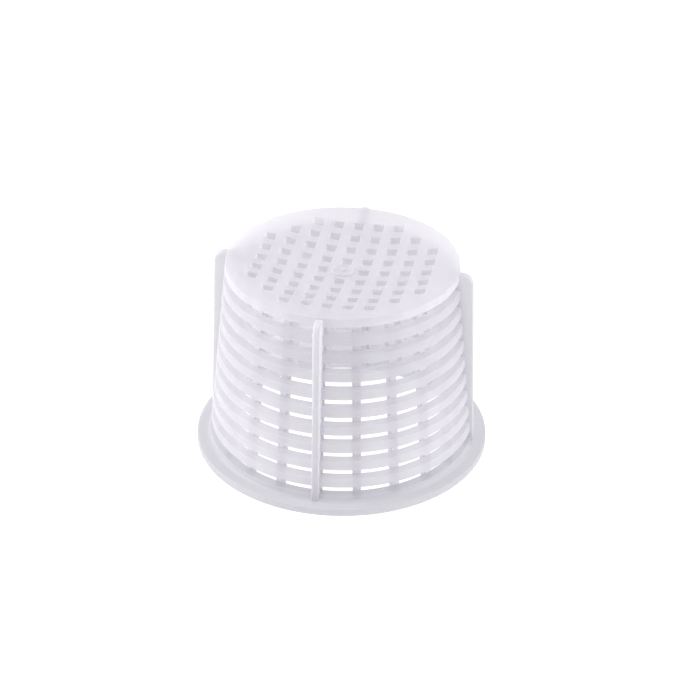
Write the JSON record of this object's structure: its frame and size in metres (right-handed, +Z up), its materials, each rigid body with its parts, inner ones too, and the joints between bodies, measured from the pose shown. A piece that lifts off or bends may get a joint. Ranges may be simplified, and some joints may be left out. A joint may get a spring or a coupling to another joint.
{
  "type": "foot valve strainer basket",
  "caption": "Tapered round strainer basket with a slotted hooped wall, outside guide fins, a flange round its open mouth and a dished perforated end.",
  "frame": {"origin": "centre of the open mouth, on the flat face of the flange that the basket stands on", "axes": "+Z up along the basket's axis, from the open mouth to the perforated end; the four fins are at +X, +Y, -X and -Y"},
  "size_m": [0.075, 0.075, 0.051],
  "materials": {
    "natural_plastic": "milky translucent, satin as moulded"
  },
  "bodies": {
    "root": {"mounting_flange": "natural_plastic", "lower_band": "natural_plastic", "hoop_01": "natural_plastic", "hoop_02": "natural_plastic", "hoop_03": "natural_plastic", "hoop_04": "natural_plastic", "hoop_05": "natural_plastic", "hoop_06": "natural_plastic", "hoop_07": "natural_plastic", "hoop_08": "natural_plastic", "hoop_09": "natural_plastic", "upper_band": "natural_plastic", "rib_01": "natural_plastic", "rib_02": "natural_plastic", "rib_03": "natural_plastic", "rib_04": "natural_plastic", "rib_05": "natural_plastic", "rib_06": "natural_plastic", "rib_07": "natural_plastic", "rib_08": "natural_plastic", "rib_09": "natural_plastic", "rib_10": "natural_plastic", "rib_11": "natural_plastic", "rib_12": "natural_plastic", "rib_13": "natural_plastic", "rib_14": "natural_plastic", "rib_15": "natural_plastic", "rib_16": "natural_plastic", "fin_rib_front": "natural_plastic", "fin_rib_right": "natural_plastic", "fin_rib_rear": "natural_plastic", "fin_rib_left": "natural_plastic", "guide_fin_front": "natural_plastic", "guide_fin_right": "natural_plastic", "guide_fin_rear": "natural_plastic", "guide_fin_left": "natural_plastic", "end_grid": "natural_plastic", "gate_boss": "natural_plastic"}
  },
  "joints": []
}
